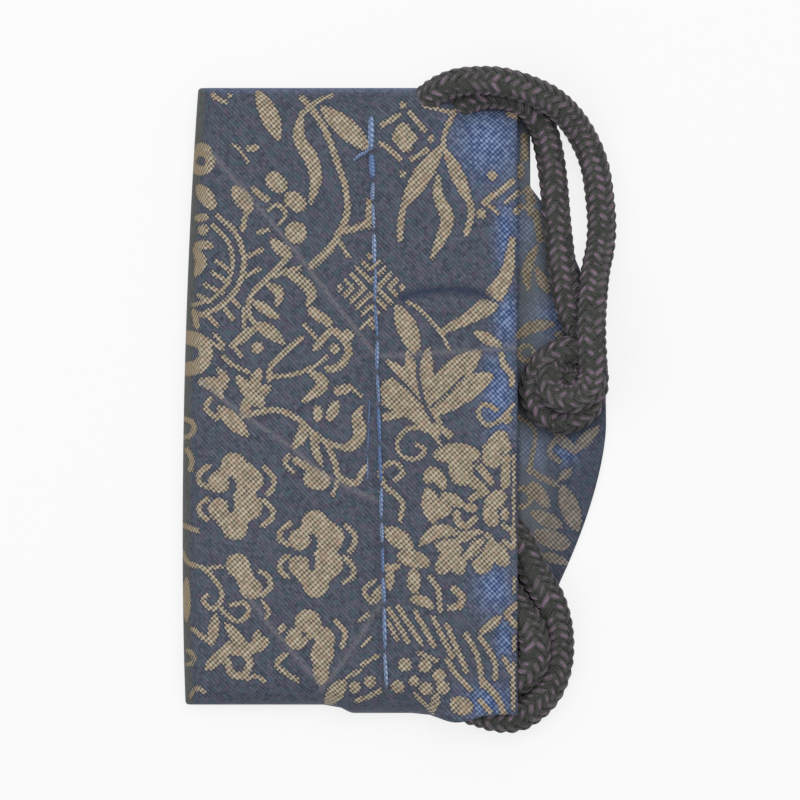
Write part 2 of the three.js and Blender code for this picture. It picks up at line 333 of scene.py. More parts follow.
def smooth_line(points, spacing):
    """Evenly spaced points on the centripetal curve through the given ones."""
    knots = np.asarray(points, float)
    knots = np.vstack([2 * knots[0] - knots[1], knots, 2 * knots[-1] - knots[-2]])
    share = np.linspace(0, 1, CURVE_STEPS, endpoint=False)[:, None]
    dense = []
    for before, start, end, after in zip(knots, knots[1:], knots[2:], knots[3:]):
        first, middle, last = (
            np.linalg.norm(b - a) ** 0.5 for a, b in ((before, start), (start, end), (end, after))
        )
        leave = (start - before) / first - (end - before) / (first + middle) + (end - start) / middle
        arrive = (end - start) / middle - (after - start) / (middle + last) + (after - end) / last
        leave, arrive = leave * middle, arrive * middle
        cubic = 2 * start - 2 * end + leave + arrive
        square = 3 * end - 3 * start - 2 * leave - arrive
        dense.append(start + leave * share + square * share**2 + cubic * share**3)
    dense = np.vstack([*dense, knots[-2]])
    run = np.concatenate([[0], np.cumsum(np.linalg.norm(np.diff(dense, axis=0), axis=1))])
    places = np.linspace(0, run[-1], max(2, round(run[-1] / spacing) + 1))
    return np.column_stack([np.interp(places, run, axis) for axis in dense.T])


def directions(line):
    along = np.gradient(line, axis=0)
    return along / np.linalg.norm(along, axis=1)[:, None]


def carried_normals(line, first):
    """A direction across the line at each of its points, carried along without twist."""
    across = []
    normal = np.asarray(first, float)
    for tangent in directions(line):
        normal = normal - tangent * (normal @ tangent)
        normal = normal / np.linalg.norm(normal)
        across.append(normal)
    return np.array(across)


def tube_faces(rings, sides, start):
    """Faces of a closed tube of so many rings, whose points begin at start."""
    faces = []
    for ring in range(rings - 1):
        low = start + ring * sides
        for side in range(sides):
            turn = (side + 1) % sides
            faces.append((low + side, low + turn, low + sides + turn, low + sides + side))
    faces.append(tuple(start + side for side in range(sides)))
    last = start + (rings - 1) * sides
    faces.append(tuple(last + side for side in reversed(range(sides))))
    return faces


def joined(tubes):
    """Several tubes, each as points, faces and attributes, as one mesh."""
    points, faces, attributes = zip(*tubes)
    starts = np.cumsum([0, *map(len, points)]).tolist()
    moved = [tuple(start + corner for corner in face) for start, made in zip(starts, faces) for face in made]
    gathered = {label: np.concatenate([made[label] for made in attributes]) for label in attributes[0]}
    return np.vstack(points), moved, gathered


# The cord: a round braid of sixteen yarns, each passing over two others and under two, pressed a little flat
CORD_DIAMETER = 5
YARNS_EACH_WAY = 8
COLUMNS_EACH_WAY = YARNS_EACH_WAY // 2
BRAID_LEAD = 13.6
YARN_WIDTH = 1.45
YARN_THICKNESS = 0.9
YARN_RISE = 0.2
BRAID_SWELL = 0.1
BRAID_SPREAD = 1.04
PRESSED_SPREAD = 1.17
YARN_SIDES = 6
YARN_MIDDLE = CORD_DIAMETER / 2 + BRAID_SWELL - YARN_THICKNESS / 2 - YARN_RISE
BRAID_STEP = 0.36
BRAID_DRIFT = 420
ON_TABLE = 2.6
ON_CLOTH = 4.0

OUTER_STRAND = [
    (1.5, 50.8, 4.4), (3.4, 52.4, 5), (5.3, 54.1, 6.6), (8.1, 56.1, 8.9), (11.3, 57.3, 10.4),
    (14.8, 57.6, 10.9), (19, 57.4, 11), (24.2, 55.9, 10.3), (28.2, 54, 8.2), (31.7, 50.8, 5),
    (34.2, 46.9, 3.2), (35.8, 42.8, ON_TABLE), (36.7, 37.4, ON_TABLE), (37.1, 32, ON_TABLE), (36.8, 28, 3.1),
    (36.1, 24.9, 4.4), (35.6, 21.6, 6), (35.3, 18.2, 7.6), (35.1, 15, 8.7), (35.1, 12.5, 9.1),
]
INNER_STRAND = [
    (8, 49.3, 4.2), (10, 51.5, 4.6), (12.2, 53.5, 5.2), (14.7, 54.8, 5.8), (17.5, 55.2, 6), (20.6, 54.9, 5.8),
    (23.4, 53.6, 5.1), (25.5, 51.3, 4.1), (26.8, 48.6, 3.2), (27.6, 45.6, 2.8), (28.2, 42, ON_TABLE),
    (28.6, 38.5, 3.1), (28.9, 34.5, 3.9), (29.2, 31, ON_CLOTH), (29.6, 27.6, ON_CLOTH), (30, 24.2, ON_CLOTH),
    (30.6, 20.2, ON_CLOTH), (31.6, 16.6, ON_CLOTH), (32.9, 13.4, ON_CLOTH),
]
LOWER_OUTER = [
    (14.5, -21.3, 4.1), (18, -21.5, 4.1), (20.8, -22.9, 4.1), (22.6, -25.4, ON_CLOTH),
    (23.9, -28.4, ON_CLOTH), (25.5, -31.3, ON_CLOTH), (27.1, -33.8, ON_CLOTH), (28.4, -37, 3.7),
    (29.2, -41, 2.9), (29.3, -44.4, ON_TABLE), (28.9, -47.4, ON_TABLE), (27.5, -50.9, 2.9),
    (25.1, -53.7, 3.6), (21.9, -55.6, 4.1), (18.5, -55.7, 4.1), (15.6, -54.9, 4.1), (12.4, -53.9, 4.1),
]
LOWER_INNER = [
    (13, -27.8, 4.1), (15.8, -29.2, 4.1), (18.4, -31.5, 4.1), (20.5, -34.2, 4.5), (22.1, -36.7, 5.2),
    (23.8, -39.2, 5.8), (24.9, -42.4, 6.1), (24.8, -45.6, 5.9), (23.5, -48, 5.5), (21.3, -49.4, 4.8),
    (18.4, -50, 4.3), (15.6, -49.1, 4.1), (12.9, -47.9, 4.1),
]
# The inner strand winds on into the knot's first turn, and the outer strand into the second, on top of it
FIRST_TURN = [
    (33.1, 13.05, ON_CLOTH), (34.5, 9.8, ON_CLOTH), (35.5, 6.4, ON_CLOTH), (35.6, 2.8, ON_CLOTH),
    (34.1, -0.8, ON_CLOTH), (30.2, -2.8, ON_CLOTH), (26.4, -1.2, ON_CLOTH), (24.7, 2.2, 4.2), (26, 6.1, 4.8),
    (28.7, 8.8, 5.8), (31, 9.6, 6.1), (33.2, 9.4, 5.8),
]
SECOND_TURN = [
    (35.1, 11.7, 9.2), (35.3, 8.4, 9.2), (35.3, 4.8, 9), (33.8, 1.9, 8.8), (30.9, 0.9, 8.6), (28.4, 1.9, 8.2),
    (27.6, 4.3, 7.4), (28.6, 6.4, 5.9), (30.4, 6.5, 4.7), (32.2, 5.4, 4.3), (33.3, 4.1, 4.2),
]
# The cord's end, tucked through the middle of the knot
TUCKED_END = [(28.6, 4.4, 5.2), (31, 3.9, 5.9), (33.6, 3.5, 5.4)]
# Where each stretch leaves the pouch and how long it is, in metres, then the looks of its yarns. OUTWARD is
# the place on a yarn's section, as a share of the way round, that faces out and carries the painted plum
# highlights
OUTER_RUN = (0.0053, 0.0541, 0.0066), 0.0786
INNER_RUN = (0.0122, 0.0535, 0.0052), 0.0606
LOWER_OUTER_RUN = (0.0226, -0.0254, 0.0040), 0.0546
LOWER_INNER_RUN = (0.0221, -0.0367, 0.0052), 0.0373
CORD_LOOKS = srgb(62, 66, 58), srgb(87, 89, 82)
# Plum colours of the painted highlights on the yarns' outward crests
PLUM_HIGHLIGHT_LOOKS = srgb(116, 104, 114), srgb(150, 124, 146)
OUTWARD = 0.25
HIGHLIGHT_EDGES = 0.12, 0.03
FIBRES_ROUND = 9
FIBRE_TWIST = 0.35
FIBRE_DEPTH = 0.12


def cord_finish():
    finish = Finish("cord")
    crest = finish.attribute("crest")
    strand = finish.attribute("strand", "Vector")
    along, around, yarn = finish.parts(strand)
    fibre = (around * FIBRES_ROUND + along * FIBRE_TWIST).wave()
    place = finish.vector(along * 0.3, yarn * 3.7, yarn)
    lot = finish.noise(place, 1.6)
    hue = finish.noise(place, 2.9)
    dark = finish.blend(lot.step(0.35, 0.65), *CORD_LOOKS)
    # Painted highlight: a plum stroke on the outward side of each yarn where it rises over the others
    stripe = (around - OUTWARD).combine("ABSOLUTE").step(*HIGHLIGHT_EDGES)
    painted_highlight = stripe * (crest + (lot - 0.5) * 2).step(0.5, 0.86)
    plum = finish.blend(hue.step(0.4, 0.6), *PLUM_HIGHLIGHT_LOOKS)
    colour = finish.blend(painted_highlight, dark, plum)
    finish.paint(colour, lot.step(0.2, 0.8) * 0.2 + 0.5, fibre, FIBRE_DEPTH)
    finish.fibres(0.3, 0.2, 0.4, srgb(200, 180, 210))
    return finish.material


def ring_order(values, rings):
    """Values listed by yarn, side and ring, put in the order of the points: by yarn, ring and side."""
    yarns = np.array(values).reshape(2 * YARNS_EACH_WAY, YARN_SIDES, rings, -1)
    return yarns.transpose(0, 2, 1, 3).reshape(-1, yarns.shape[-1])


def braid(line, stretch, spread):
    """Points, faces and shading attributes of the braid round a stretch of a line."""
    run = np.concatenate([[0], np.cumsum(np.linalg.norm(np.diff(line, axis=0), axis=1))])[stretch]
    normal = carried_normals(line, (0, 0, 1))[stretch]
    binormal = np.cross(directions(line)[stretch], normal)
    core = line[stretch]
    rings = len(core)
    shares = (np.arange(YARN_SIDES) + 0.5) / YARN_SIDES
    section = 2 * math.pi * shares
    points, faces, crests, strands = [], [], [], []
    for number in range(2 * YARNS_EACH_WAY):
        way = 1 if number < YARNS_EACH_WAY else -1
        turn = way * 2 * math.pi * run / BRAID_LEAD + 2 * math.pi * number / YARNS_EACH_WAY
        rise = way * np.cos(COLUMNS_EACH_WAY * turn)
        angle = (turn + 2 * math.pi * run / BRAID_DRIFT)[:, None]
        outward = np.cos(angle) * normal + np.sin(angle) * spread * binormal
        middle = core + outward * (YARN_MIDDLE + YARN_RISE * rise)[:, None]
        beside = np.cross(directions(middle), outward)
        beside = beside / np.linalg.norm(beside, axis=1)[:, None]
        faces += tube_faces(rings, YARN_SIDES, number * rings * YARN_SIDES)
        for k in range(YARN_SIDES):
            wide = YARN_WIDTH / 2 * math.cos(section[k])
            thick = YARN_THICKNESS / 2 * math.sin(section[k])
            points.append(middle + beside * wide + outward * thick)
            # Where a yarn rises over the others, on its outward side: the place of the painted highlights
            crests.append((0.5 + 0.5 * rise) ** 2 * max(0, math.sin(section[k])))
            strands.append(np.column_stack([run, np.full(rings, shares[k]), np.full(rings, number)]))
    attributes = {"crest": ring_order(crests, rings).ravel(), "strand": ring_order(strands, rings)}
    return ring_order(points, rings), faces, attributes


def add_braids(name, stretches, material, node, spread):
    """One piece of braids, each round a stretch of a line."""
    points, faces, attributes = joined([braid(*stretch, spread) for stretch in stretches])
    return add_piece(name, points, faces, material, node, attributes)


def wound_line(strand, turn):
    """A strand and its turn in the knot as one line, and where on it the turn begins."""
    line = smooth_line(strand + turn, BRAID_STEP)
    return line, int(np.argmin(np.linalg.norm(line - strand[-1], axis=1)))


def add_cords():
    material = cord_finish()
    outer, outer_end = wound_line(OUTER_STRAND, SECOND_TURN)
    inner, inner_end = wound_line(INNER_STRAND, FIRST_TURN)
    whole = slice(None)
    turns = [
        (inner, slice(inner_end, None)), (outer, slice(outer_end, None)),
        (smooth_line(TUCKED_END, BRAID_STEP), whole),
    ]
    knot = add_braids("braided_knot", turns, material, "cord_knot", BRAID_SPREAD)
    lower_outer = smooth_line(LOWER_OUTER, BRAID_STEP)
    lower_inner = smooth_line(LOWER_INNER, BRAID_STEP)
    for name, node, line, stretch, (exit, length), far_end, pieces in (
        ("braid_outer", "cord_outer_strand", outer, slice(outer_end + 1), OUTER_RUN, "knot", [knot]),
        ("braid_inner", "cord_inner_strand", inner, slice(inner_end + 1), INNER_RUN, "knot", []),
        ("braid_lower_outer", "cord_lower_outer", lower_outer, whole, LOWER_OUTER_RUN, "object", []),
        ("braid_lower_inner", "cord_lower_inner", lower_inner, whole, LOWER_INNER_RUN, "object", []),
    ):
        spread = BRAID_SPREAD if far_end == "knot" else PRESSED_SPREAD
        piece = add_braids(name, [(line, stretch)], material, node, spread)
        path = (line[stretch] * MM).tolist()


# Shape of the folded cloth
GRAIN = 0.4
BACK_GRAIN = 0.85
LINING_GRAIN = 3.4
FOLD_COLUMNS = 12
FLAP_STATION = 2.76
FLAP_SHARE = 0.3
FOLD_STATION = 1.5
BACK_STATION = 1.6
BACK_SHIFT = 0.4
LINING_INSET = 1.5
EDGE_STEPS = (0, 0.1, 0.25, 0.5)
RIM_SHARE = 0.08
CREASES = (
    ((213, 155), (261, 210), (301, 259), (338, 307), (376, 355)),
    ((381, 357), (451, 352), (528, 347)),
    ((202, 382), (238, 411), (288, 445), (329, 477), (381, 502)),
    ((247, 595), (279, 636), (324, 688)),
    ((320, 690), (342, 663), (369, 622), (383, 599)),
)
RIDGE_STEP = 1.5
CREASE_RISE = 0.14
CREASE_HALF_WIDTH = 0.42
WORN_CREASE = 0.42
DENT = ((402, 298), (425, 292), (450, 290), (470, 292), (488, 297))
DENT_DEPTH = 0.55
DENT_HALF_WIDTH = 0.9
PUCKER_DEPTH = 0.14
PUCKER_PITCH = 4.1
PUCKER_REACH = 2.6
SWELL = 0.3
SWELL_START = 0.25


def smoothstep(value, low, high):
    share = np.clip((value - low) / (high - low), 0, 1)
    return share * share * (3 - 2 * share)


def quarter_round(share):
    return np.sqrt(1 - (1 - np.clip(share, 0, 1)) ** 2)


def left_x(y):
    above = y > WIDEST_Y
    tuck = np.where(above, TOP_TUCK, BOTTOM_TUCK)
    end = np.where(above, TOP_Y, BOTTOM_Y)
    return LEFT_X + tuck * ((y - WIDEST_Y) / (end - WIDEST_Y)) ** 2


def seam_x(y):
    return MOUTH_X - SEAM_INSET - SEAM_SHIFT * y / (TOP_Y - BOTTOM_Y)


def bottom_y(x):
    bump = np.cos(np.clip((x - BUMP_X) / BUMP_RUN, -1, 1) * math.pi / 2) ** 2
    step = 1 - smoothstep(x, STEP_X - STEP_RUN / 2, STEP_X + STEP_RUN / 2)
    return BOTTOM_Y + BUMP_DROP * (1 - bump) + STEP_RISE * step


def back_edge(y):
    """Free edge of the back panel: the strip beyond the mouth and the tongue flap."""
    above = y > -FLAP_DROP
    share = np.clip(np.abs(y + FLAP_DROP) / np.where(above, FLAP_UPPER, FLAP_LOWER), 0, 1)
    power = np.where(above, FLAP_UPPER_POWER, FLAP_LOWER_POWER)
    to_end = TOP_Y - np.where(above, STRIP_ENDS, STRIP_LOWER_END) - np.abs(y)
    ending = quarter_round(to_end / STRIP_WIDTH)
    spread = STRIP_SPREAD * smoothstep(-y, SPREAD_STARTS, SPREAD_ENDS) * ending
    return MOUTH_X + STRIP_WIDTH * ending + spread + FLAP_REACH * (1 - share**power)


def line_gap(places, line, halves):
    """Distance of each place to a line of points, less the half width that the line has there."""
    gap = np.full(len(places), np.inf)
    for start, end, first, last in zip(line, line[1:], halves, halves[1:]):
        along = end - start
        share = np.clip((places - start) @ along / max(along @ along, 1e-9), 0, 1)
        away = np.hypot(*(places - start - share[:, None] * along).T)
        gap = np.minimum(gap, away - first - (last - first) * share)
    return gap


def ridge(x, y, draft_line, half_width):
    """1 on a line of the draft, falling to 0 beside it."""
    places = np.column_stack([np.ravel(x), np.ravel(y)])
    line = smooth_line(from_draft(draft_line), RIDGE_STEP)
    gap = line_gap(places, line, np.zeros(len(line)))
    return np.exp(-((gap / half_width) ** 2)).reshape(np.shape(x))


def creasing(x, y, half_width=CREASE_HALF_WIDTH):
    return sum(ridge(x, y, crease, half_width) for crease in CREASES)


def front_surface(x, y):
    """Height of the front: crowned, coming down to the sewn edges, drawn in along the seam and creased."""
    share = (x - left_x(y)) / (MOUTH_X - left_x(y))
    rise = np.sin(np.clip(share / CROWN_SHARE, 0, 1) * math.pi / 2)
    fall = smoothstep(share, CROWN_SHARE, 1)
    crown = FOLD_HEIGHT + (CROWN_HEIGHT - FOLD_HEIGHT) * rise - (CROWN_HEIGHT - MOUTH_HEIGHT) * fall
    opened = smoothstep(x, CORNER_X, CORNER_X + CORNER_RUN)
    opening = OPENING_DEPTH * smoothstep(x, OPENING_X, OPENING_X + OPENING_RUN)
    taper = TOP_TAPER - GATHER * np.exp(-(((x - GATHER_X) / GATHER_RUN) ** 2))
    at_top = quarter_round((TOP_Y - opening - y) / taper)
    at_bottom = quarter_round((y - bottom_y(x)) / BOTTOM_TAPER)
    full = np.minimum(at_top, at_bottom + (1 - at_bottom) * opened)
    from_seam = np.abs(x - seam_x(y))
    groove = GROOVE_DEPTH * np.clip(1 - from_seam / GROOVE_HALF_WIDTH, 0, 1)
    drawn_in = np.exp(-((from_seam / PUCKER_REACH) ** 2))
    pucker = PUCKER_DEPTH * np.cos(2 * math.pi * y / PUCKER_PITCH) * drawn_in
    swell = SWELL * np.sin(x / 7.3 + 0.6) * np.sin(y / 11 + 0.4) * np.clip(share / SWELL_START, 0, 1)
    marks = CREASE_RISE * creasing(x, y) - DENT_DEPTH * ridge(x, y, DENT, DENT_HALF_WIDTH)
    return SEAM_HEIGHT + (crown - SEAM_HEIGHT - groove + pucker + swell + marks) * full


def sheet_points(stations, shares, side):
    """Points on the outer face (side 1) or inner face (-1), their places on the flat cloth and stations.

    Stations run across: 0 at the mouth, 1 to 2 round the fold, 3 at the back's free edge. Shares run up."""
    station, share = np.meshgrid(stations, shares)
    front, fold, back = (np.clip(station - start, 0, 1) for start in range(3))
    width = MOUTH_X - LEFT_X
    plain_x = np.where(station < 2, MOUTH_X - width * front, LEFT_X + width * back)
    low_y = bottom_y(plain_x)
    y = low_y + (TOP_Y - low_y) * share
    fold_x = left_x(y) + FOLD_RADIUS
    angle = math.pi / 2 - math.pi * fold
    edge = back_edge(y)
    x = np.where(station <= 1, MOUTH_X + (fold_x - MOUTH_X) * front, fold_x - FOLD_RADIUS * np.cos(angle))
    x = np.where(station >= 2, fold_x + (edge - fold_x) * back, x)
    height = front_surface(np.minimum(x, MOUTH_X), y)
    outer_z = height / 2 * (1 + np.sin(angle))
    to_edge = np.where(station < FOLD_STATION, MOUTH_X - x, edge - x)
    to_edge = np.minimum(to_edge, np.minimum(TOP_Y - y, y - low_y))
    half = CLOTH_WALL / 2
    reach = half * (RIM_SHARE + (1 - RIM_SHARE) * quarter_round(to_edge / half))
    inward = half - side * reach
    points = np.stack([x + np.cos(angle) * inward, y, outer_z - np.sin(angle) * inward], axis=-1)
    flat = np.where(station < 2, x - FOLD_RADIUS * (math.pi / 2 - angle) * (fold > 0), x)
    steps = np.linalg.norm(np.diff(points[..., 1:], axis=0), axis=-1)
    climb = np.vstack([np.zeros(len(stations)), np.cumsum(steps, axis=0)])
    halfway = len(shares) // 2
    unrolled = y[halfway] + climb - climb[halfway]
    return points.reshape(-1, 3), np.stack([flat, unrolled], axis=-1).reshape(-1, 2), station.ravel()


def spaced(start, end, length, spacing, edge=None):
    """Stations from start to end over a real length, finer at the edge named."""
    inner = np.linspace(0, 1, round(length / spacing) + 1)
    if edge is None:
        return start + (end - start) * inner
    shares = np.concatenate([np.array(EDGE_STEPS) / length, inner[inner * length > EDGE_STEPS[-1] + 0.1]])
    if edge == "start":
        return start + (end - start) * shares
    return end - (end - start) * shares[::-1]


def both_edges(length, spacing):
    middle = np.arange(EDGE_STEPS[-1] + spacing, length - EDGE_STEPS[-1] - spacing / 2, spacing)
    ends = np.array(EDGE_STEPS)
    return np.concatenate([ends, middle, length - ends[::-1]]) / length


def grid_faces(columns, rows, start):
    faces = []
    for row in range(rows - 1):
        low = start + row * columns
        for c in range(low, low + columns - 1):
            faces.append((c, c + 1, c + columns + 1, c + columns))
    return faces


def zip_faces(first, first_places, second, second_places):
    """Triangles that join two rows of points, walked along together by their places."""
    faces = []
    i = j = 0
    while i + 1 < len(first) or j + 1 < len(second):
        next_first = first_places[i + 1] if i + 1 < len(first) else math.inf
        next_second = second_places[j + 1] if j + 1 < len(second) else math.inf
        if next_first <= next_second:
            faces.append((first[i], first[i + 1], second[j]))
            i += 1
        else:
            faces.append((first[i], second[j + 1], second[j]))
            j += 1
    return faces


# The woven pattern: each shape is a line swept by a disc whose width follows a profile. A line is listed as
# x, y, x, y in draft squares, from the corner of its motif
PATTERN_REACH = 2.0
LINE_STEP = 0.5
ARC_POINTS = 7
PROFILES = {
    "stem": lambda share: np.ones_like(share),
    "leaf": lambda share: np.sin(math.pi * (0.04 + 0.92 * share)) ** 0.7,
    "bean": lambda share: np.sqrt(np.maximum(0, 1 - (2 * share - 1) ** 2)) * 0.85 + 0.15,
    "horn": lambda share: 1 - 0.7 * share,
}


def shape(profile, width, *lines):
    """Shapes of one profile and width, one for each line."""
    return [(profile, width, np.reshape(line, (-1, 2))) for line in lines]


stem, leaf, bean, horn = (partial(shape, profile) for profile in PROFILES)


def dot(radius, *places):
    return stem(2 * radius, *((*place, *place) for place in places))


def arc(width, middle, radius, start, end):
    """A stretch of a circle, in degrees clockwise from the right."""
    angles = np.radians(np.linspace(start, end, ARC_POINTS))
    return stem(width, [np.add(middle, (radius * math.cos(a), radius * math.sin(a))) for a in angles])


def placed(motif, corner):
    """All shapes of a motif, moved from its own corner to that place on the draft."""
    return [(profile, width, line + np.array(corner)) for group in motif for profile, width, line in group]


# A plum blossom about its middle: petals grown together, gaps that part the left ones, and curled sepals
BLOSSOM = [
    stem(5, (-27, -31, -36, -24, -37, -15, -29, -10), (-28, 1, -37, 9, -35, 18, -29, 22),
        (29, -29, 38, -19, 37, -9, 32, -3), (28, 3, 37, 13, 36, 21, 27, 28)),
    bean(22, (-14, 14, -3, 28)), bean(24, (9, -20, 8, 24)), bean(26, (6, -26, 13, -16)), dot(7, (-10, -25)),
    dot(10.8, (-17, -15), (-17, 12)), dot(13, (-2, -31), (-1, 30)), dot(13.3, (14, -17), (13, 10)),
]
BLOSSOM_GAPS = [
    stem(3.5, (-32, -2, -5, -2)), stem(6, (-5, -18, -2, -13, -3, -6)), stem(6.5, (-5, 3, -5, 13)),
]


def chevron_lozenge(size, pitch, width):
    """A lozenge of nested chevrons, striped one way in two of its quarters and the other way in the rest."""
    stripes = []
    for side in (-1, 1):
        for end in (-1, 1):
            for reach in np.arange(pitch / 2, size, pitch):
                near, far = (size - reach) / 2, (size + reach) / 2
                stripes.append((side * reach, 0, side * far, end * near))
                stripes.append((0, end * reach, side * near, end * far))
    return [stem(width, *stripes)]


LOW_BLOSSOM = [
    stem(4, (13, 5, 10, 11)), stem(5, (16, 34, 7, 43, 14, 51, 27, 60), (66, 1, 75, 12, 72, 26)),
    leaf(16, (52, 36, 51, 63)), bean(20, (33, 8, 48, 8)), bean(24, (52, 20, 52, 42)), dot(11, (27, 18)),
    dot(12, (53, 18)), dot(13, (38, 2)),
]
LOW_BLOSSOM_GAPS = [
    stem(5, (43, 20, 39, 30, 36, 40)), dot(3, (34, 14)),
]

UPPER_LEFT = [
    stem(3, (43, 55, 50, 60, 58, 72)),
    stem(4, (23, 6, 29, 9, 36, 12), (142, 5, 126, 13, 113, 24), (79, 120, 87, 115, 96, 123, 90, 134),
        (150, 153, 159, 167)),
    stem(5, (61, 119, 56, 125, 53, 140)),
    stem(6, (112, 8, 126, 25, 137, 45, 148, 75, 156, 100, 157, 125, 150, 142), (59, 59, 67, 58),
        (64, 100, 77, 110), (179, 112, 179, 136), (150, 142, 168, 138, 182, 129)),
    stem(7, (150, 142, 141, 158, 122, 176)), stem(17, (84, 90, 89, 95), (103, 110, 108, 114)),
    leaf(14, (112, 23, 109, 47, 123, 73, 126, 90, 121, 113)), leaf(15, (8, 96, 24, 118)),
    leaf(16, (44, 98, 61, 120)), leaf(18, (68, 2, 78, 22, 89, 49)), leaf(20, (133, 19, 155, 38, 179, 59)),
    bean(10, (7, 56, 20, 60)), dot(2.5, (23, 4), (40, 5)), dot(10.8, (106, 143)),
    arc(9, (11, 71), 10, 0, 360),
]

SUNBURST = [
    stem(4, (26, -1, 42, 10), (23, 11, 39, 21), (15, 23, 32, 31), (8, 33, 20, 40), (68, -29, 79, -32),
        (55, -4, 72, -12), (56, 14, 70, 7), (17, 53, 27, 63), (42, 37, 49, 44)),
    stem(5, (33, 42, 42, 57)), stem(6, (4, 50, 7, 64)), leaf(11, (4, -14, 11, 0, 5, 14)),
    bean(8, (5, -43, 18, -46)), bean(9, (5, -17, 23, -17)), dot(5.5, (13, -32)),
    arc(5, (0, 0), 54, -58, 77), arc(4, (0, 0), 43, -58, 87),
]

MIDDLE_LEFT = [
    stem(3.5, (170, 146, 181, 156)),
    stem(4, (95, 37, 104, 32, 120, 28), (64, 68, 64, 88), (89, 137, 112, 135, 137, 125, 147, 117),
        (124, 85, 136, 98), (182, 88, 187, 82, 195, 88), (53, 105, 61, 116), (30, 101, 42, 109),
        (35, 95, 44, 105), (43, 117, 55, 126, 69, 132), (158, 240, 153, 254),
        (109, 215, 105, 222, 114, 232)),
    stem(5, (93, 1, 109, 12, 96, 30, 82, 44, 70, 58, 69, 72, 76, 86), (122, 98, 101, 116, 90, 129, 89, 140),
        (30, 159, 26, 168, 37, 178), (7, 210, 12, 220, 10, 230)),
    stem(5.5, (63, 176, 75, 173, 95, 170, 115, 177, 130, 190, 146, 202, 165, 208)),
    stem(6, (148, 205, 155, 222, 158, 234, 175, 243, 185, 227)),
    stem(7, (136, 108, 153, 91, 169, 111, 157, 128, 148, 129), (116, 220, 138, 233)),
    stem(9, (167, 94, 170, 96)), stem(10, (133, 72, 148, 82)),
    stem(14, (6, 97, 21, 102, 26, 114, 19, 126, 6, 129)), leaf(8, (131, 191, 136, 210, 142, 226)),
    leaf(9, (86, 44, 99, 52, 97, 66), (50, 107, 62, 98, 78, 85), (38, 129, 48, 142), (32, 144, 43, 158)),
    leaf(10, (73, 61, 99, 78)),
    leaf(11, (104, 33, 123, 42, 132, 55, 127, 66), (129, 131, 143, 143, 123, 162), (70, 154, 57, 136),
        (72, 152, 80, 129), (72, 156, 90, 147), (72, 156, 62, 172), (123, 184, 122, 196, 114, 208)),
    leaf(12, (91, 1, 111, 17)),
    leaf(13, (74, 83, 88, 91, 104, 103), (19, 142, 46, 146),
        (160, 208, 175, 204, 180, 190, 177, 177, 182, 166)),
    leaf(15, (39, 167, 67, 195)), bean(10, (155, 152, 170, 148), (138, 167, 138, 180)),
    bean(11, (149, 180, 157, 162)), bean(16, (63, 143, 82, 164)), bean(21, (129, 238, 145, 241)),
    dot(5, (155, 109)), dot(6, (78, 108)), arc(5, (5, 188), 9, -90, 90),
]

LOWER_LEFT = [
    stem(3.5, (25, 49, 42, 46)),
    stem(4, (67, 159, 76, 156, 85, 161), (83, 81, 89, 92, 86, 98), (10, 177, 17, 168, 24, 172)),
    stem(4.5, (2, 32, 7, 42, 25, 49, 38, 64, 42, 77, 33, 89, 23, 80, 27, 75),
        (38, 85, 48, 96, 60, 101, 69, 91, 65, 83, 51, 85)),
    stem(5, (80, 51, 89, 57, 91, 66, 82, 75), (4, 6, 17, 11), (13, 109, 26, 120)),
    stem(7, (65, 132, 70, 144, 61, 156, 51, 152, 48, 141)), stem(18, (60, 47, 69, 66)),
    leaf(8, (76, 125, 78, 110)), leaf(9, (6, 58, 6, 102)), leaf(11, (36, 95, 31, 125), (46, 104, 66, 127)),
    leaf(13, (51, 126, 26, 149), (69, 131, 88, 119)), bean(15, (45, 127, 73, 129)), dot(4, (102, 108)),
    dot(11, (71, 68)), dot(12, (58, 45)), arc(4, (7, 138), 7, -90, 90),
]

UPPER_RIGHT = [
    stem(3.5, (28, 202, 40, 210, 60, 232, 69, 249)),
    stem(4, (44, 6, 67, 12, 76, 11), (106, 104, 117, 113), (125, 103, 139, 92)),
    stem(5, (2, 26, 19, 16), (30, 13, 44, 31), (1, 44, 20, 59), (32, 60, 47, 50), (74, 13, 65, 33, 63, 50)),
    stem(6, (26, 98, 21, 120, 20, 139), (90, 101, 91, 115, 86, 134), (132, 82, 104, 103),
        (129, 14, 138, 17)),
    stem(12, (18, 38, 31, 38)), stem(15, (23, 31, 25, 45)), leaf(11, (94, 232, 121, 246)),
    leaf(13, (58, 76, 58, 95, 67, 120, 52, 158), (65, 49, 77, 75, 90, 105)),
    leaf(18, (61, 48, 41, 78, 24, 105)), leaf(20, (17, 207, 28, 230, 36, 253)),
    horn(18, (108, 206, 85, 220, 60, 232)), horn(19, (114, 196, 126, 175, 132, 140)),
    dot(3.5, (23, 6), (23, 75), (51, 39)), dot(4, (137, 111)), dot(4.6, (112, 76), (101, 114)),
]

LARGE_LEAF = [
    stem(7, (56, 72, 59, 85, 69, 95)), stem(8, (6, 77, 22, 73)),
    leaf(13, (8, 21, 24, 36, 45, 65), (27, 12, 32, 30, 42, 56)), leaf(15, (48, 9, 46, 35, 50, 65)),
    leaf(24, (4, 62, 30, 65, 58, 93)), leaf(26, (50, 59, 68, 39, 98, 13), (51, 73, 78, 53, 110, 36)),
    bean(28, (9, 48, 24, 58)),
]
LARGE_LEAF_VEINS = [
    stem(3.2, (52, 67, 67, 54, 84, 36)), stem(4.5, (38, 12, 39, 42, 47, 70, 54, 82)),
    horn(7, (2, 27, 24, 44, 44, 67)),
]

SCROLLS = [
    stem(4, (60, 94, 50, 82, 30, 78, 18, 90, 20, 104, 35, 109, 45, 100, 36, 94)),
    stem(4.5, (15, 130, 23, 122, 13, 112, 1, 120, 4, 134, 22, 152, 20, 170),
        (133, 55, 121, 69, 106, 75, 98, 62, 104, 54, 117, 60)),
    stem(6, (121, 4, 123, 14, 131, 24, 132, 34)), dot(5, (127, 69)),
]

